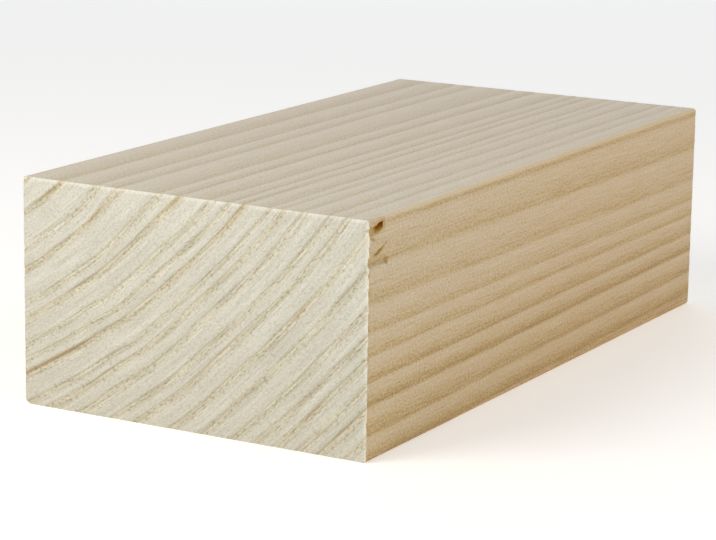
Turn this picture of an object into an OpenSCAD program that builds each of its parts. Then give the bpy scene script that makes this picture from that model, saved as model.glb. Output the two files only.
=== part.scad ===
// Short length of planed softwood, lying on one of its wide faces.
// The origin is the middle of the underside: X runs across the width,
// Y along the length and the grain, Z up. The near end is at -Y.
// Four-sided planing leaves the long arrises crisp, each eased by its own
// small radius. Both ends are sawn square. The saw came out at the right-hand
// side of the near end and tore two splinters off the arris there.

/* [Section] */
// Width, across the wide faces
section_w = 98; // [60:1:200]
// Thickness, between the wide faces
section_t = 58; // [30:1:120]

/* [Length] */
// Length between the two sawn ends
plank_l = 193; // [100:1:1200]

/* [Arrises] */
// Easing radius of the top left arris
arris_top_left = 0.5; // [0.2:0.1:5]
// Easing radius of the top right arris
arris_top_right = 1; // [0.2:0.1:5]
// Easing radius of the bottom left arris
arris_bottom_left = 1.6; // [0.2:0.1:5]
// Easing radius of the bottom right arris
arris_bottom_right = 0.8; // [0.2:0.1:5]

/* [Upper splinter] */
// How far the splinter tore along the plank, from the sawn end to its root
splinter_l = 8; // [4:0.5:20]
// Distance of its upper edge below the top face, at the sawn end
splinter_drop = 1.8; // [1.2:0.1:5]
// Its height where it meets the sawn end
splinter_h = 1.7; // [0.5:0.1:4]
// Its height at the root
splinter_root_h = 1.6; // [0.2:0.1:3]
// How far it climbs towards the top face on its way to the root
splinter_rise = 1.1; // [0.1:0.1:1.1]
// Depth below the side face, at the sawn end
splinter_d = 0.9; // [0.3:0.1:4]
// Depth below the side face, at the root
splinter_root_d = 1.9; // [0.3:0.1:4]

/* [Lower flake] */
// How far the flake tore along the plank, from the sawn end to its root
flake_l = 9; // [4:0.5:20]
// Distance of its upper edge below the top face, at the sawn end
flake_drop = 8.5; // [6:0.1:20]
// Its height where it meets the sawn end
flake_h = 3; // [0.5:0.1:6]
// Its height at the root
flake_root_h = 4.6; // [0.5:0.1:6]
// How far it climbs towards the top face on its way to the root
flake_rise = 2; // [0.1:0.1:3]
// Depth below the side face, at the sawn end
flake_d = 0.3; // [0.2:0.1:3]
// Depth below the side face, at the root
flake_root_d = 0.7; // [0.2:0.1:3]

/* [Hidden] */
$fn = 48;
// Overshoot of every cut past the face that it opens
past = 1;
wood = "#D2C4A6";
right = section_w / 2;
near_end = -plank_l / 2;

// What easing takes off one corner of the section: a square less a circle.
module corner_waste(is_right, is_top, r) {
    translate([is_right ? right : -right, is_top ? section_t : 0])
        mirror([is_right ? 1 : 0, 0])
            mirror([0, is_top ? 1 : 0])
                difference() {
                    translate([-past, -past]) square(r + past);
                    translate([r, r]) circle(r);
                }
}

// Planed section, standing on its underside.
module section() {
    difference() {
        translate([-right, 0]) square([section_w, section_t]);
        corner_waste(false, false, arris_bottom_left);
        corner_waste(true, false, arris_bottom_right);
        corner_waste(false, true, arris_top_left);
        corner_waste(true, true, arris_top_right);
    }
}

// Gap left by a splinter at the near end of the right-hand side: its outline on
// the side face, met by a floor that slopes down from the sawn end to the root.
module torn_out(length, drop, h, root_h, rise, d, root_d) {
    root_drop = drop - rise;
    reach = drop + h + root_h + past;
    translate([right, near_end, section_t])
        intersection() {
            translate([-d - root_d - past, 0, 0])
                rotate([90, 0, 90])
                    linear_extrude(d + root_d + 2 * past)
                        polygon([
                            [-past, -drop],
                            [0, -drop],
                            [length, -root_drop],
                            [length, -root_drop - root_h],
                            [0, -drop - h],
                            [-past, -drop - h]
                        ]);
            translate([0, 0, -reach])
                linear_extrude(reach)
                    polygon([
                        [past, -past],
                        [-d, -past],
                        [-d, 0],
                        [-root_d, length],
                        [past, length]
                    ]);
        }
}

module plank() {
    color(wood)
        difference() {
            translate([0, -near_end, 0])
                rotate([90, 0, 0])
                    linear_extrude(plank_l) section();
            torn_out(splinter_l, splinter_drop, splinter_h, splinter_root_h,
                     splinter_rise, splinter_d, splinter_root_d);
            torn_out(flake_l, flake_drop, flake_h, flake_root_h,
                     flake_rise, flake_d, flake_root_d);
        }
}

plank();
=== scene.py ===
"""A short length of planed softwood on a pale studio floor.

The plank is one mesh, worked from the solid's own box. Where each point lies in the tree is stored on the
mesh, and the growth rings of every face, and the relief of the sawn ends, follow from it.
"""
import math

import bmesh
import bpy
from mathutils import Matrix, Vector, noise


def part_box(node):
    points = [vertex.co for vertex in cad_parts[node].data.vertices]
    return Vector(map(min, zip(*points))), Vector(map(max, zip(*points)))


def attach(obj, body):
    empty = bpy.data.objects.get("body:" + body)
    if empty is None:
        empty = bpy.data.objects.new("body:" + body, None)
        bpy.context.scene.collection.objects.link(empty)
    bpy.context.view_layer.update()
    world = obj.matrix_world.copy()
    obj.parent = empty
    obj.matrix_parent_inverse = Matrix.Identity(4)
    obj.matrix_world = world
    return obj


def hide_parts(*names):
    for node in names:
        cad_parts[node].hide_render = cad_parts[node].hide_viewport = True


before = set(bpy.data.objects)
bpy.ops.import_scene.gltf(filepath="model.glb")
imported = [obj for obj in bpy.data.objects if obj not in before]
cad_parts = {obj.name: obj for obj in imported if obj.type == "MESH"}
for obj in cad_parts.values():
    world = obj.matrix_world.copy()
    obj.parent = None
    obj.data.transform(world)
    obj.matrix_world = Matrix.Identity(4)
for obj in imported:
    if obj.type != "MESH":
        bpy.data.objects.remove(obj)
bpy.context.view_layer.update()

MM = 0.001

# The plank's own box
LOW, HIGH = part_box("plank")
LEFT, RIGHT = LOW.x, HIGH.x
NEAR = LOW.y
UNDER, TOP = LOW.z, HIGH.z
WIDTH, LENGTH, THICKNESS = HIGH - LOW

# Easing radius of each long arris
ARRIS = {
    ("left", "top"): 0.5 * MM,
    ("right", "top"): 1.0 * MM,
    ("left", "under"): 1.6 * MM,
    ("right", "under"): 0.8 * MM,
}

# Mesh of the plank: cells across an end, and rows along the length
CELLS_WIDE = 200
CELLS_HIGH = 124
# How much closer the cells stand at the arrises than half-way between them
CELL_CROWDING = 0.4
# Rows stand closest where the side is torn: row number, and distance from the near end
ROW_MARKS = ((0, 0.0), (36, 11 * MM), (56, LENGTH - 8 * MM), (66, LENGTH))
ROWS = ROW_MARKS[-1][0]

# The tree's middle lies above the plank and to its left
PITH_X = LEFT - 123 * MM
PITH_Z = TOP + 159 * MM
# Years of growth, from the pith outwards: width in mm, how tan the last wood of the year is on the planed
# faces, and how dark its line is on the sawn ends
FIRST_RING = 201 * MM
YEARS = (
    (7.0, 0.68, 0.75), (7.4, 0.64, 0.20), (4.6, 0.68, 0.95), (7.9, 0.64, 0.45), (3.7, 0.80, 0.90),
    (5.9, 0.64, 0.40), (3.8, 0.72, 0.45), (3.3, 0.72, 1.00), (5.8, 0.64, 0.45), (2.9, 0.56, 0.75),
    (4.4, 0.60, 0.45), (5.5, 0.60, 0.55), (3.5, 0.56, 0.60), (5.9, 0.60, 0.60), (5.3, 0.58, 0.55),
    (5.9, 0.54, 0.50), (4.5, 0.58, 0.50), (3.7, 0.68, 0.60), (4.4, 0.82, 0.45), (3.9, 1.00, 1.00),
    (5.0, 0.74, 0.60), (4.6, 0.95, 0.60),
)
# Across a sawn end each line has a lead of darkening wood and is followed by a band of torn wood. These are
# their widths, and the part of a year that each is given, so that a narrow year has them as a wide one does.
LEAD_WIDTH = 1.2 * MM
LEAD_PART = 0.3
TORN_WIDTH = 2.0 * MM
TORN_PART = 0.5
# Depth of the torn band by part of a year: the line is at 0 and 1
TORN_BAND = ((0.0, 1.0), (0.3, 0.9), (0.45, 0.4), (0.54, 0.05), (0.8, 0.0), (0.93, 0.6), (1.0, 1.0))
# Bends of the rings: at a radius in mm, degrees below level and how far out in mm the ring lies there
RING_BENDS = (
    (220, ((46, -0.8), (50.5, 0.4), (53, 0.3), (57, -0.2))),
    (242, ((36, 1.2), (42, 1.0), (47, 0.2), (51, 0.1), (54, -0.9), (60, -2.0))),
    (256, ((36, 0.1), (41, 0.2), (47, -0.2), (51, 0.1), (55, -0.3))),
    (275, ((34, 1.0), (39, 0.7), (43, 0.1), (47, 0.0), (51, 0.6), (54, 0.3))),
)
# They also wander: how far, and over what length across and along the tree
WANDER = 0.12 * MM
WANDER_ACROSS = 14 * MM
WANDER_ALONG = 60 * MM
# By the far end some of the rings have moved: radius, and how far in towards the pith, in mm
RING_DRIFT = (
    (208, 1.1), (221, 1.2), (228, 0.2), (232, -0.7), (238, -1.3), (245, -0.5), (251, 0.0), (274, 0.0),
    (279, -0.5), (285, -0.4), (289, 0.2), (293, 1.3), (300, 1.9), (306, 2.8),
)
# Radius at which lengths round the tree are measured
MEAN_RADIUS = 255 * MM
# Brown resin in the sawn ends: radius in mm, degrees below level, half its length in degrees, and strength
RESIN_STREAKS = (
    (244.4, 57, 5.0, 1.0), (231.8, 43.5, 2.5, 0.7), (208.0, 51, 2.5, 0.7), (244.6, 41, 3.0, 0.6),
    (272.9, 42, 1.5, 0.5), (292.3, 45, 1.5, 0.5), (220.2, 49, 2.0, 0.4),
)
RESIN_WIDTH = 0.8 * MM

# Places torn out of the right-hand side at the near end. The upper and lower edges are drops below the
# top face, and the depth is into the side, all by distance from the near end, in mm. The low share is how
# much of that depth there is at the lower edge. The stain is how far round the tear the wood is darker, and
# brown is what share it has of the darkness that goes with its depth: stain, with painted shade in the tear.
TORN_PLACES = (
    {
        "upper": ((0, 2.2), (3.4, 1.65), (4.8, 1.1), (6.0, 1.0)),
        "lower": ((0, 3.9), (2.4, 3.8), (4.6, 3.3), (6.0, 2.7)),
        "depth": ((0, 0.4), (2.6, 0.65), (4.6, 1.7), (6.0, 1.9)),
        "low_share": 0.45,
        "stain": 1.2,
        "brown": 1.0,
    },
    {
        "upper": ((0, 8.6), (2.8, 8.6), (5.1, 8.4), (8.5, 9.5), (9.0, 10.4)),
        "lower": ((0, 11.4), (3.7, 11.1), (8.5, 11.2), (9.0, 10.4)),
        "depth": ((0, 0.3), (9.0, 0.3)),
        "low_share": 1.9,
        "stain": 0.3,
        "brown": 0.3,
    },
    {
        "upper": ((2.0, 8.4), (2.8, 8.4), (5.1, 7.5), (8.3, 6.4)),
        "lower": ((2.0, 8.5), (2.8, 9.1), (5.1, 8.2), (8.3, 6.6)),
        "depth": ((2.0, 0.5), (4.0, 1.1), (8.3, 0.5)),
        "low_share": 1.0,
        "stain": 0.2,
        "brown": 0.9,
    },
    {
        "upper": ((8.0, 9.7), (8.6, 9.8), (9.0, 10.4)),
        "lower": ((8.0, 11.4), (8.5, 11.5), (9.0, 10.8)),
        "depth": ((8.0, 0.9), (9.0, 0.9)),
        "low_share": 1.0,
        "stain": 0.2,
        "brown": 0.45,
    },
    {
        "upper": ((0.9, 4.2), (2.7, 4.9)),
        "lower": ((0.9, 4.6), (2.7, 5.3)),
        "depth": ((0.9, 0.8), (2.7, 0.7)),
        "low_share": 1.0,
        "stain": 0.2,
        "brown": 0.7,
    },
)
# How the torn edges slope in, and the depth at which the wood is darkest with stain and painted shade
TORN_SLOPE = 0.3 * MM
TORN_DARKEST = 1.6 * MM
# Faces that are at least this share of the darkest are torn wood and not planed
TEAR_LEAST = 0.4
# The torn edges are ragged: how far, and over what length along the plank and down it
TORN_RAGGED = 0.25 * MM
RAGGED_ALONG = 3 * MM
RAGGED_DOWN = 0.5 * MM
# The stain covers the walls of a tear, and this share of it shows further round
TORN_RIM = 0.35 * MM
STAIN_OUTSIDE = 0.22
# How far in from the side the sawn end gives way to a torn place
TORN_REACH = 5 * MM

# Small nibbles that the saw left down the right-hand edge of the near end: how deep into the side and how
# far along it they reach, and how far apart they are
NIBBLE_DEPTH = 0.5 * MM
NIBBLE_LONG = 1.5 * MM
NIBBLE_STEP = 2.0 * MM

# Relief of a sawn end: how low the torn dark wood and the rough between the fibres lie
RING_RELIEF = 0.14 * MM
ROUGH_RELIEF = 0.10 * MM
ROUGH_SIZE = 0.9 * MM
# Width of the paler rim along the top and right-hand edges of the sawn ends: fuzz of fibres that the saw
# left, and a painted highlight
FUZZ_AND_HIGHLIGHT_WIDTH = 1.3 * MM
# Painted highlight along the top right-hand arris: how far across the top and down the side it is painted
# paler, and how much of that there is by distance from the near end
HIGHLIGHT_ACROSS = 1.6 * MM
HIGHLIGHT_DOWN = 1.15 * MM
HIGHLIGHT_ALONG = ((2 * MM, 0.65), (7 * MM, 1.0))


def linear(hex_colour):
    """An sRGB hex colour as linear red, green, blue and a full alpha."""
    parts = [int(hex_colour[i:i + 2], 16) / 255 for i in (1, 3, 5)]
    return [c / 12.92 if c <= 0.04045 else ((c + 0.055) / 1.055) ** 2.4 for c in parts] + [1.0]


def smooth_step(value, start, end):
    """0 before start, 1 after end, with a smooth rise between them."""
    t = min(1.0, max(0.0, (value - start) / (end - start)))
    return t * t * (3 - 2 * t)


def between(value, marks, smooth=False):
    """The value read off a line, or a smooth curve, through marks, which are pairs in rising order."""
    if value <= marks[0][0]:
        return marks[0][1]
    for (a, at_a), (b, at_b) in zip(marks, marks[1:]):
        if value <= b:
            share = smooth_step(value, a, b) if smooth else (value - a) / (b - a)
            return at_a + (at_b - at_a) * share
    return marks[-1][1]


def ring_marks():
    """By radius: years of growth, place across the sawn line, and how tan and how dark each year ends."""
    radius = FIRST_RING
    years = [(radius, 0.0)]
    lines = [(radius, 0.0)]
    tans = [(radius, YEARS[0][1])]
    darks = [(radius, YEARS[0][2])]
    for count, (growth, tan, dark) in enumerate(YEARS, start=1):
        width = growth * MM
        lines.append((radius + min(TORN_WIDTH, TORN_PART * width), count - 1 + TORN_PART))
        lines.append((radius + width - min(LEAD_WIDTH, LEAD_PART * width), count - LEAD_PART))
        radius += width
        lines.append((radius, float(count)))
        years.append((radius, float(count)))
        tans.append((radius, tan))
        darks.append((radius, dark))
    return years, lines, tans, darks


YEAR_MARKS, LINE_MARKS, TAN_MARKS, DARK_MARKS = ring_marks()


def ring_bend(radius, angle):
    """How far out a ring lies at an angle in degrees below level, read between the radii of the bends."""
    bends = [(at * MM, between(angle, marks, smooth=True)) for at, marks in RING_BENDS]
    return between(radius, bends) * MM


def place_in_tree(p):
    """A point's distance from the pith, with bends and drift taken out, its way round, and its height."""
    across = p.x - PITH_X
    down = PITH_Z - p.z
    radius = math.hypot(across, down)
    angle = math.atan2(down, across)
    where = Vector((p.x / WANDER_ACROSS, p.y / WANDER_ALONG, p.z / WANDER_ACROSS))
    drift = between(radius / MM, RING_DRIFT, smooth=True) * MM * (p.y - NEAR) / LENGTH
    ring_radius = radius - ring_bend(radius, math.degrees(angle)) + WANDER * noise.noise(where) + drift
    return Vector((ring_radius, angle * MEAN_RADIUS, p.y))


def resin_at(in_tree):
    """How much brown resin lies at a place in the tree, from 0 to 1."""
    most = 0.0
    for radius, angle, reach, strength in RESIN_STREAKS:
        off = abs(in_tree.x - radius * MM) / RESIN_WIDTH
        along = abs(math.degrees(in_tree.y / MEAN_RADIUS) - angle) / reach
        most = max(most, strength * smooth_step(1 - off, 0, 1) * smooth_step(1 - along, 0, 1))
    return most


def new_object(name, bm):
    """Makes a mesh object of a bmesh."""
    mesh = bpy.data.meshes.new(name)
    bm.to_mesh(mesh)
    bm.free()
    obj = bpy.data.objects.new(name, mesh)
    bpy.context.scene.collection.objects.link(obj)
    return obj


def crowd(share):
    """Moves a share from 0 to 1 so that even steps come closer together at both ends."""
    return share - CELL_CROWDING * math.sin(2 * math.pi * share) / (2 * math.pi)


def ease(x, z):
    """Carries a point near a long arris in to the arris's radius."""
    side = "left" if x < (LEFT + RIGHT) / 2 else "right"
    level = "under" if z < (UNDER + TOP) / 2 else "top"
    r = ARRIS[side, level]
    centre_x = LEFT + r if side == "left" else RIGHT - r
    centre_z = UNDER + r if level == "under" else TOP - r
    dx = x - centre_x
    dz = z - centre_z
    outward_x = -dx if side == "left" else dx
    outward_z = -dz if level == "under" else dz
    if outward_x <= 0 or outward_z <= 0:
        return x, z
    shrink = max(outward_x, outward_z) / math.hypot(dx, dz)
    return centre_x + dx * shrink, centre_z + dz * shrink


def torn_at(place, along, drop, spread=0.0):
    """Depth of one torn place, by distance from the near end and below the top, with its outline spread."""
    start, end = (place["upper"][k][0] * MM for k in (0, -1))
    if not start - spread <= along <= end + spread:
        return 0.0
    ragged = TORN_RAGGED * noise.noise(Vector((along / RAGGED_ALONG, drop / RAGGED_DOWN, 0)))
    upper = between(along / MM, place["upper"]) * MM + ragged - spread
    lower = between(along / MM, place["lower"]) * MM + ragged + spread
    inside = smooth_step(drop, upper, upper + TORN_SLOPE + spread)
    inside *= smooth_step(lower - drop, 0, TORN_SLOPE + spread)
    lowness = min(1.0, max(0.0, (drop - upper) / max(lower - upper, TORN_SLOPE)))
    share = 1 - (1 - place["low_share"]) * lowness
    return inside * share * between(along / MM, place["depth"]) * MM


def torn_stain_and_shade(along, drop):
    """How dark stain and painted shade make the torn places of the side, as the depth of a tear as dark."""
    most = 0.0
    for place in TORN_PLACES:
        walls = torn_at(place, along, drop, TORN_RIM)
        outside = STAIN_OUTSIDE * torn_at(place, along, drop, TORN_RIM + place["stain"] * MM)
        most = max(most, place["brown"] * max(walls, outside))
    return most


# Places of the three materials on the plank
PLANED_FACE, SAWN_FACE, TORN_FACE = range(3)


def make_plank():
    """The plank: a grid for the near end, drawn out to the far end, then worked as saw and plane leave it."""
    # A block of one unit each way first, whose shares of a side are then given their place
    bm = bmesh.new()
    bmesh.ops.create_grid(bm, x_segments=CELLS_WIDE, y_segments=CELLS_HIGH, size=0.5)
    grown = bmesh.ops.extrude_face_region(bm, geom=bm.faces[:], use_keep_orig=True)
    far_verts = [v for v in grown["geom"] if isinstance(v, bmesh.types.BMVert)]
    bmesh.ops.translate(bm, verts=far_verts, vec=(0, 0, 1))
    sawn = {f for f in bm.faces if abs(f.normal.z) > 0.5}
    long_edges = [e for e in bm.edges if abs(e.verts[0].co.z - e.verts[1].co.z) > 0.5]
    bmesh.ops.subdivide_edges(bm, edges=long_edges, cuts=ROWS - 1, use_grid_fill=True)

    tree = bm.verts.layers.float_vector.new("tree")
    year, line, tan, dark, resin, torn, fuzz, rubbed = (bm.verts.layers.float.new(name) for name in (
        "year", "line", "tan", "dark", "resin", "torn", "fuzz", "rubbed"))
    for v in bm.verts:
        row = round(v.co.z * ROWS)
        along = between(row, ROW_MARKS)
        x, z = ease(LEFT + WIDTH * crowd(v.co.x + 0.5), UNDER + THICKNESS * crowd(v.co.y + 0.5))
        p = Vector((x, NEAR + along, z))
        v[tree] = place_in_tree(p)
        v[year] = between(v[tree].x, YEAR_MARKS)
        v[line] = between(v[tree].x, LINE_MARKS)
        v[tan] = between(v[tree].x, TAN_MARKS)
        v[dark] = between(v[tree].x, DARK_MARKS)
        v[resin] = resin_at(v[tree])
        # Painted highlight, with fuzz of fibres: the sawn ends are paler along their top and right-hand edges
        v[fuzz] = smooth_step(FUZZ_AND_HIGHLIGHT_WIDTH - min(RIGHT - x, TOP - z), 0, FUZZ_AND_HIGHLIGHT_WIDTH)
        near_side = smooth_step(x, RIGHT - TORN_REACH, RIGHT)
        depth = max(torn_at(place, along, TOP - z) for place in TORN_PLACES) * near_side
        nibble = NIBBLE_DEPTH * max(0.0, noise.noise(Vector((0, along / NIBBLE_LONG, z / NIBBLE_STEP))))
        nibble *= near_side * smooth_step(NIBBLE_LONG - along, 0, NIBBLE_LONG)
        depth = max(depth, nibble)
        # The torn places' stain, with painted shade that darkens with their depth
        stain = max(nibble, torn_stain_and_shade(along, TOP - z))
        v[torn] = min(1.0, near_side * stain / TORN_DARKEST)
        # Painted highlight: the top right-hand arris is painted paler
        v[rubbed] = smooth_step(HIGHLIGHT_ACROSS - (RIGHT - x), 0, HIGHLIGHT_ACROSS)
        v[rubbed] *= smooth_step(HIGHLIGHT_DOWN - (TOP - z), 0, HIGHLIGHT_DOWN)
        v[rubbed] *= between(along, HIGHLIGHT_ALONG)
        if row in (0, ROWS):
            low = RING_RELIEF * between(v[line] % 1.0, TORN_BAND)
            low += ROUGH_RELIEF * (0.5 + 0.5 * noise.noise(p / ROUGH_SIZE))
            p.y += low if row == 0 else -low
        p.x -= depth
        v.co = p
    bmesh.ops.recalc_face_normals(bm, faces=bm.faces[:])
    for f in bm.faces:
        f.smooth = True
        f.material_index = PLANED_FACE
        if f in sawn:
            f.material_index = SAWN_FACE
        elif min(v[torn] for v in f.verts) > TEAR_LEAST:
            f.material_index = TORN_FACE
    for e in bm.edges:
        e.smooth = len({f in sawn for f in e.link_faces}) == 1
    plank = new_object("plank_softwood", bm)
    plank.data.materials.append(softwood_along("planed_softwood", PLANED_ROUGHNESS, PLANED_SHINE))
    plank.data.materials.append(sawn_softwood())
    plank.data.materials.append(softwood_along("torn_softwood", TORN_ROUGHNESS, TORN_SHINE))
    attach(plank, "root")
    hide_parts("plank")


def node(tree, kind, settings=None, out=0, **inputs):
    """Adds a node with its settings and links, and returns one of its outputs.

    An input is named by its label, or as in_0, in_1 and so on. The setting stops is a colour ramp's:
    pairs of a place from 0 to 1 and a hex colour or a grey from 0 to 1.
    """
    made = tree.nodes.new(kind)
    for name, value in (settings or {}).items():
        if name != "stops":
            setattr(made, name, value)
            continue
        elements = made.color_ramp.elements
        while len(elements) < len(value):
            elements.new(1.0)
        for element, (place, colour) in zip(elements, value):
            element.position = place
            element.color = linear(colour) if isinstance(colour, str) else (colour, colour, colour, 1.0)
    for name, value in inputs.items():
        socket = made.inputs[int(name[3:]) if name.startswith("in_") else name]
        if isinstance(value, bpy.types.NodeSocket):
            tree.links.new(value, socket)
        else:
            socket.default_value = value
    return made.outputs[out]


# Refractive index of dry wood, and of acrylic
IOR = 1.5


def new_material(name, roughness):
    """A node material with one shader, whose roughness is the same all over."""
    material = bpy.data.materials.new(name)
    material.use_nodes = True
    tree = material.node_tree
    shader = tree.nodes["Principled BSDF"]
    shader.inputs["Roughness"].default_value = roughness
    shader.inputs["IOR"].default_value = IOR
    return material, tree, shader


# Planed wood shines a little, and torn wood hardly at all
PLANED_ROUGHNESS = 0.5
PLANED_SHINE = 0.5
TORN_ROUGHNESS = 0.9
TORN_SHINE = 0.05
# Patterns of the planed faces. Spruce fibres are 0.03 mm across: they are drawn coarse enough to show.
FIBRE_ACROSS = 0.4 * MM
FIBRE_LONG = 12 * MM
SPECK_ACROSS = 0.5 * MM
SPECK_LONG = 0.9 * MM
FIBRE_RELIEF = 0.05 * MM
FIBRE_BUMP = 0.3
# How tan the wood is by part of a year
TAN_BY_PART = (
    (0.0, 0.6), (0.08, 0.12), (0.16, 0.0), (0.4, 0.22), (0.65, 0.58), (0.85, 0.85), (0.95, 1.0),
    (1.0, 0.85),
)
# How dark the wood is: what it starts from, and the shares of the year's tan, the fibres and the specks
PLANED_START = -0.5
TAN_SHARE = 0.5
FIBRE_SHARE = 0.6
SPECK_SHARE = 1.1
# Colours from the palest wood to the darkest, and of the painted highlight on the top right-hand arris
PLANED_COLOURS = (
    (0.0, "#DACCAD"), (0.15, "#CFBEA0"), (0.35, "#C7B495"), (0.6, "#BDA579"), (0.77, "#AE915A"),
    (1.0, "#9C7C42"),
)
ARRIS_HIGHLIGHT_COLOUR = "#EFDDB8"
# Wood is a little warmer and darker away from the sawn end, over this length
WARMER_FAR_LENGTH = 110 * MM
WARMER_FAR_TINTS = ((0.0, "#FFFFFF"), (1.0, "#FFF8EF"))
# Painted shade: the lower wood is a little darker and browner
PLANED_SHADE_TINTS = ((0.0, "#FCF9EE"), (0.6, "#FFFFFF"))
# Torn wood is ochre where it is shallow and dark brown in the pits: stain, with painted shade in the deep
# pits
TEAR_STAIN_AND_SHADE_TINTS = (
    (0.0, "#FFFFFF"), (0.15, "#F2E5C2"), (0.35, "#EACE80"), (0.6, "#D0A840"), (0.8, "#AC7A22"),
    (1.0, "#82500A"),
)


def softwood_along(name, roughness, shine):
    """Spruce, planed or torn along the grain: each year runs from pale wood to tan, and starts again.

    The plane leaves cut fibres that shine a little, and torn fibres are matt.
    """
    material, tree, shader = new_material(name, roughness)
    shader.inputs["Specular IOR Level"].default_value = shine
    place = node(tree, "ShaderNodeTexCoord", out="Object")
    in_tree = node(tree, "ShaderNodeAttribute", {"attribute_name": "tree"}, out="Vector")
    year, tan, torn, rubbed = (
        node(tree, "ShaderNodeAttribute", {"attribute_name": layer}, out="Fac")
        for layer in ("year", "tan", "torn", "rubbed"))

    # Pale early wood that turns tan to the end of each year
    part = node(tree, "ShaderNodeMath", {"operation": "FRACT"}, in_0=year)
    late = node(tree, "ShaderNodeValToRGB", {"stops": TAN_BY_PART}, Fac=part)
    late = node(tree, "ShaderNodeMath", {"operation": "MULTIPLY"}, in_0=late, in_1=tan)
    # Fibres along the tree, and specks where they are cut
    fine = node(tree, "ShaderNodeMapping", Vector=in_tree,
                Scale=(1 / FIBRE_ACROSS, 1 / FIBRE_ACROSS, 1 / FIBRE_LONG))
    fibre = node(tree, "ShaderNodeTexNoise", Vector=fine, Scale=1.0, Detail=2.0)
    short = node(tree, "ShaderNodeMapping", Vector=place,
                 Scale=(1 / SPECK_ACROSS, 1 / SPECK_LONG, 1 / SPECK_ACROSS))
    speck = node(tree, "ShaderNodeTexNoise", Vector=short, Scale=1.0, Detail=2.0)

    dark = PLANED_START
    for amount, share in ((late, TAN_SHARE), (fibre, FIBRE_SHARE), (speck, SPECK_SHARE)):
        dark = node(tree, "ShaderNodeMath", {"operation": "MULTIPLY_ADD"}, in_0=amount, in_1=share, in_2=dark)
    colour = node(tree, "ShaderNodeValToRGB", {"stops": PLANED_COLOURS}, Fac=dark)
    # Painted highlight along the top right-hand arris
    colour = node(tree, "ShaderNodeMix", {"data_type": "RGBA"}, out=2,
                  in_0=rubbed, in_6=colour, in_7=linear(ARRIS_HIGHLIGHT_COLOUR))
    along = node(tree, "ShaderNodeSeparateXYZ", out="Y", Vector=place)
    inward = node(tree, "ShaderNodeMapRange", in_0=along, in_1=NEAR, in_2=NEAR + WARMER_FAR_LENGTH)
    up = node(tree, "ShaderNodeSeparateXYZ", out="Z", Vector=place)
    height = node(tree, "ShaderNodeMapRange", in_0=up, in_1=UNDER, in_2=TOP)
    # Tints: warmer away from the near end, painted shade lower down, and the torn places' stain with painted
    # shade
    for amount, tints in ((inward, WARMER_FAR_TINTS), (height, PLANED_SHADE_TINTS), (torn, TEAR_STAIN_AND_SHADE_TINTS)):
        tint = node(tree, "ShaderNodeValToRGB", {"stops": tints}, Fac=amount)
        colour = node(tree, "ShaderNodeMix", {"data_type": "RGBA", "blend_type": "MULTIPLY"}, out=2,
                      in_0=1.0, in_6=colour, in_7=tint)
    tree.links.new(colour, shader.inputs["Base Color"])
    bump = node(tree, "ShaderNodeBump", Height=fibre, Strength=FIBRE_BUMP, Distance=FIBRE_RELIEF)
    tree.links.new(bump, shader.inputs["Normal"])
    return material


# A saw leaves the ends of the fibres matt
SAWN_ROUGHNESS = 0.8
# Patterns that follow the rings of the sawn ends: size across the rings, size along them, and detail. Cut
# fibres are 0.03 mm across: their grain and the pits that they leave are drawn coarse enough to show.
RING_PATTERNS = {
    "fade": (5 * MM, 20 * MM, 1.0),
    "dash": (0.5 * MM, 1.1 * MM, 2.0),
    "band": (2 * MM, 30 * MM, 1.0),
    "streak": (0.5 * MM, 12 * MM, 1.5),
    "cluster": (1.2 * MM, 6 * MM, 1.0),
    "ray": (3.5 * MM, 0.22 * MM, 1.0),
}
GRAIN = 0.4 * MM
SAWN_RELIEF = 0.12 * MM
SAWN_BUMP = 0.5
# A line is moved by the rough of the cut, of this size and by this part of a year, and is this dark across:
# late wood, with painted shade of the low torn wood along it
ROUGH_STEP = 0.8 * MM
LINE_WAVER = 0.05
LINE_BY_PART = (
    (0.0, 0.9), (0.03, 0.45), (0.08, 0.15), (0.48, 0.0), (0.75, 0.0), (0.86, 0.1), (0.92, 0.45),
    (0.96, 1.0),
)
# How much of a line is left where it fades, and where fibres tore out of it
FADE_STOPS = ((0.35, 0.55), (0.65, 1.0))
BROKEN_STOPS = ((0.4, 1.0), (0.6, 0.4))
# Where pits, clusters of pits and rays stand out from the noise, whose middle is at a half
PIT_STOPS = ((0.5, 0.0), (0.64, 1.0))
CLUSTER_STOPS = ((0.36, 0.3), (0.54, 1.0))
RAY_STOPS = ((0.66, 0.0), (0.76, 1.0))
NOISE_MIDDLE = 0.5
# Share of the pits that plain wood has, and of those that only torn wood has
PITS_PLAIN = 0.4
PITS_TORN = 0.6
# How dark the wood is: what it starts from, and the share of each pattern. The negative share along the
# top and right-hand edges is a painted highlight as well as fuzz of fibres
SAWN_START = -0.33
SAWN_SHARES = {
    "line": 0.46, "torn": 0.02, "band": 0.35, "streak": 0.35, "comb": 0.9, "pit": 0.42, "ray": 0.2,
    "grain": 0.65, "resin": 0.42, "fuzz": -0.25,
}
SAWN_COLOURS = ((0.1, "#DEDACD"), (0.3, "#D0CCBE"), (0.5, "#C1BDAD"), (0.7, "#B4AF9D"), (1.0, "#9E9683"))
# How yellow the wood is: torn wood, more of it by a dark line, pits and resin
YELLOW_TORN = 0.2
YELLOW_LINE = 0.35
YELLOW_PIT = 0.25
YELLOW_RESIN = 0.75
YELLOW_TINTS = ((0.0, "#FFFFFF"), (0.25, "#FEFCF6"), (0.5, "#FDF8EC"), (1.0, "#F6E4C4"))
# Painted shade: the lower wood is a little darker and greyer
SAWN_SHADE_TINTS = ((0.0, "#F5F4F2"), (1.0, "#FFFFFF"))


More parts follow.
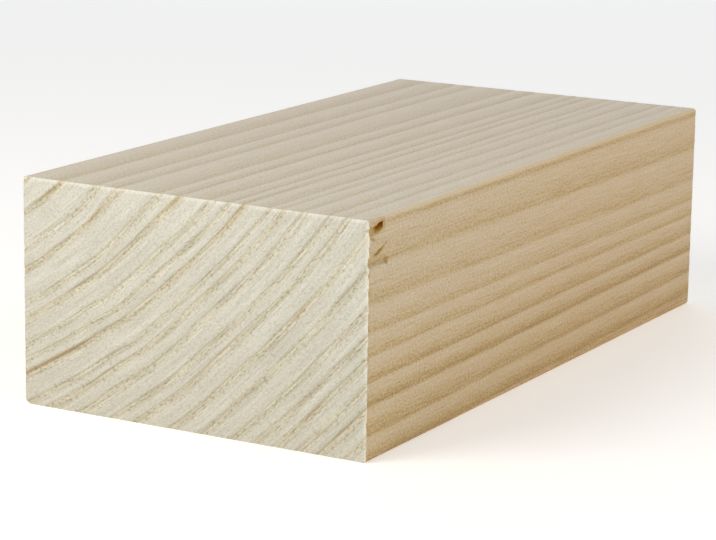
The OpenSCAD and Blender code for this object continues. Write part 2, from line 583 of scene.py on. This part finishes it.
def sawn_softwood():
    """Spruce, sawn across the grain: off-white and matt, with dark lines and torn, yellower wood by each."""
    material, tree, shader = new_material("sawn_softwood", SAWN_ROUGHNESS)
    place = node(tree, "ShaderNodeTexCoord", out="Object")
    in_tree = node(tree, "ShaderNodeAttribute", {"attribute_name": "tree"}, out="Vector")
    line, shown, resin, fuzz = (
        node(tree, "ShaderNodeAttribute", {"attribute_name": layer}, out="Fac")
        for layer in ("line", "dark", "resin", "fuzz"))
    noises = {}
    for name, (across, along, detail) in RING_PATTERNS.items():
        stretched = node(tree, "ShaderNodeMapping", Vector=in_tree, Scale=(1 / across, 1 / along, 0))
        noises[name] = node(tree, "ShaderNodeTexNoise", Vector=stretched, Scale=1.0, Detail=detail)

    # The dark line that ends a year, late wood with painted shade of the low torn wood along it, comes and
    # goes, and is fainter where fibres tore out
    rough = node(tree, "ShaderNodeTexNoise", Vector=place, Scale=1 / ROUGH_STEP, Detail=2.0)
    shift = node(tree, "ShaderNodeMath", {"operation": "MULTIPLY_ADD"},
                 in_0=rough, in_1=LINE_WAVER, in_2=line)
    part = node(tree, "ShaderNodeMath", {"operation": "FRACT"}, in_0=shift)
    late = node(tree, "ShaderNodeValToRGB", {"stops": LINE_BY_PART}, Fac=part)
    fade = node(tree, "ShaderNodeValToRGB", {"stops": FADE_STOPS}, Fac=noises["fade"])
    broken = node(tree, "ShaderNodeValToRGB", {"stops": BROKEN_STOPS}, Fac=noises["dash"])
    for share in (shown, fade, broken):
        late = node(tree, "ShaderNodeMath", {"operation": "MULTIPLY"}, in_0=late, in_1=share)
    # Thin streaks along the rings crowd where the wood is torn
    torn = node(tree, "ShaderNodeValToRGB", {"stops": TORN_BAND}, Fac=part)
    comb = node(tree, "ShaderNodeMath", {"operation": "SUBTRACT"}, in_0=noises["streak"], in_1=NOISE_MIDDLE)
    comb = node(tree, "ShaderNodeMath", {"operation": "MULTIPLY"}, in_0=comb, in_1=torn)
    # Pits where fibres tore out, darker with painted shade in them, in clusters in the torn bands
    pit = node(tree, "ShaderNodeValToRGB", {"stops": PIT_STOPS}, Fac=noises["dash"])
    cluster = node(tree, "ShaderNodeValToRGB", {"stops": CLUSTER_STOPS}, Fac=noises["cluster"])
    crowded = node(tree, "ShaderNodeMath", {"operation": "MULTIPLY_ADD"},
                   in_0=torn, in_1=PITS_TORN, in_2=PITS_PLAIN)
    cluster = node(tree, "ShaderNodeMath", {"operation": "MULTIPLY"}, in_0=cluster, in_1=crowded)
    pit = node(tree, "ShaderNodeMath", {"operation": "MULTIPLY"}, in_0=pit, in_1=cluster)
    # A few short rays that cross the rings, and the grain of cut fibres
    ray = node(tree, "ShaderNodeValToRGB", {"stops": RAY_STOPS}, Fac=noises["ray"])
    grain = node(tree, "ShaderNodeTexNoise", Vector=place, Scale=1 / GRAIN, Detail=2.0)

    amounts = {
        "line": late, "torn": torn, "band": noises["band"], "streak": noises["streak"], "comb": comb,
        "pit": pit, "ray": ray, "grain": grain, "resin": resin, "fuzz": fuzz,
    }
    dark = SAWN_START
    for name, share in SAWN_SHARES.items():
        dark = node(tree, "ShaderNodeMath", {"operation": "MULTIPLY_ADD"},
                    in_0=amounts[name], in_1=share, in_2=dark)
    colour = node(tree, "ShaderNodeValToRGB", {"stops": SAWN_COLOURS}, Fac=dark)
    # Yellower round each line, and brown with resin
    yellow = node(tree, "ShaderNodeMath", {"operation": "MULTIPLY_ADD"},
                  in_0=shown, in_1=YELLOW_LINE, in_2=YELLOW_TORN)
    yellow = node(tree, "ShaderNodeMath", {"operation": "MULTIPLY"}, in_0=yellow, in_1=torn)
    for amount, share in ((pit, YELLOW_PIT), (resin, YELLOW_RESIN)):
        yellow = node(tree, "ShaderNodeMath", {"operation": "MULTIPLY_ADD"},
                      in_0=amount, in_1=share, in_2=yellow)
    # Painted shade: darker towards the bottom of the sawn end
    up = node(tree, "ShaderNodeSeparateXYZ", out="Z", Vector=place)
    height = node(tree, "ShaderNodeMapRange", in_0=up, in_1=UNDER, in_2=TOP)
    for amount, tints in ((yellow, YELLOW_TINTS), (height, SAWN_SHADE_TINTS)):
        tint = node(tree, "ShaderNodeValToRGB", {"stops": tints}, Fac=amount)
        colour = node(tree, "ShaderNodeMix", {"data_type": "RGBA", "blend_type": "MULTIPLY"}, out=2,
                      in_0=1.0, in_6=colour, in_7=tint)
    tree.links.new(colour, shader.inputs["Base Color"])
    bump = node(tree, "ShaderNodeBump", {"invert": True},
                Height=dark, Strength=SAWN_BUMP, Distance=SAWN_RELIEF)
    tree.links.new(bump, shader.inputs["Normal"])
    return material


# Where the camera stands and how it is turned, by the photograph's perspective
CAMERA_AT = (0.34796, -0.63351, 0.18480)
CAMERA_AZIMUTH = math.radians(29.34)
CAMERA_ELEVATION = math.radians(12.69)
CAMERA_ROLL = math.radians(0.89)
# Focal length and sensor width in mm, and the nearest distance that is drawn
CAMERA_LENS = 137.54
SENSOR = 36.0
CLIP_START = 0.01


def make_camera():
    """The camera, turned as the photograph's was."""
    data = bpy.data.cameras.new("camera")
    data.sensor_fit = "HORIZONTAL"
    data.sensor_width = SENSOR
    data.lens = CAMERA_LENS
    data.clip_start = CLIP_START
    back = Vector((
        math.sin(CAMERA_AZIMUTH) * math.cos(CAMERA_ELEVATION),
        -math.cos(CAMERA_AZIMUTH) * math.cos(CAMERA_ELEVATION),
        math.sin(CAMERA_ELEVATION),
    ))
    right = Vector((math.cos(CAMERA_AZIMUTH), math.sin(CAMERA_AZIMUTH), 0))
    up = back.cross(right)
    turned_right = math.cos(CAMERA_ROLL) * right + math.sin(CAMERA_ROLL) * up
    turned_up = -math.sin(CAMERA_ROLL) * right + math.cos(CAMERA_ROLL) * up
    turn = Matrix((turned_right, turned_up, back)).transposed().to_4x4()
    camera = bpy.data.objects.new("camera", data)
    camera.matrix_world = Matrix.Translation(CAMERA_AT) @ turn
    bpy.context.scene.collection.objects.link(camera)
    bpy.context.scene.camera = camera


# The floor reaches this far from the middle, is matt, and glows evenly
FLOOR_REACH = 4.0
FLOOR_ROUGHNESS = 0.9
FLOOR_SHINE = 0.0
FLOOR_COLOUR = "#FBF5EF"
FLOOR_GLOW = "#FFFFFF"
FLOOR_GLOW_STRENGTH = 0.34


def make_floor():
    """A plain pale floor that glows a little, as a lit acrylic table does."""
    bm = bmesh.new()
    bmesh.ops.create_grid(bm, x_segments=2, y_segments=2, size=FLOOR_REACH)
    floor = new_object("floor", bm)
    material, _, shader = new_material("lit_acrylic_table", FLOOR_ROUGHNESS)
    shader.inputs["Base Color"].default_value = linear(FLOOR_COLOUR)
    shader.inputs["Specular IOR Level"].default_value = FLOOR_SHINE
    shader.inputs["Emission Color"].default_value = linear(FLOOR_GLOW)
    shader.inputs["Emission Strength"].default_value = FLOOR_GLOW_STRENGTH
    floor.data.materials.append(material)


# The room's colours, from level with the eye to straight up
ROOM_COLOURS = ((0.0, "#FFFFFF"), (0.3, "#E6E7E8"), (0.55, "#B0B5BA"), (1.0, "#5C666F"))
ROOM_STRENGTH = 1.0
# Soft boxes: where each stands, the point it faces and its width in metres, its power in watts, its colour
SOFT_BOXES = {
    "key": ((-0.24, -0.46, 0.40), (0, -0.09, 0.03), 0.35, 1.75, "#FFFCF8"),
    "fill": ((0.48, -0.02, 0.40), (0, 0, 0.03), 0.35, 0.56, "#FFF8EE"),
    "back": ((-0.95, 1.70, 0.85), (0, 0, 0.06), 1.3, 8.0, "#EAF6FF"),
}


def soft_box(name, at, towards, size, power, colour):
    """A square soft box that faces a point."""
    data = bpy.data.lights.new(name, "AREA")
    data.size = size
    data.energy = power
    data.color = linear(colour)[:3]
    light = bpy.data.objects.new(name, data)
    light.location = at
    light.rotation_mode = "QUATERNION"
    light.rotation_quaternion = (Vector(towards) - Vector(at)).to_track_quat("-Z", "Y")
    bpy.context.scene.collection.objects.link(light)


def make_light():
    """Soft studio light: a room with bright walls and a dim ceiling, and three soft boxes."""
    world = bpy.data.worlds.new("studio")
    bpy.context.scene.world = world
    world.use_nodes = True
    tree = world.node_tree
    direction = node(tree, "ShaderNodeTexCoord", out="Generated")
    height = node(tree, "ShaderNodeSeparateXYZ", out="Z", Vector=direction)
    room = node(tree, "ShaderNodeValToRGB", {"stops": ROOM_COLOURS}, Fac=height)
    background = tree.nodes["Background"]
    tree.links.new(room, background.inputs["Color"])
    background.inputs["Strength"].default_value = ROOM_STRENGTH
    for name, box in SOFT_BOXES.items():
        soft_box(name, *box)
    bpy.context.scene.view_settings.view_transform = "Standard"


make_camera()
make_floor()
make_light()
make_plank()
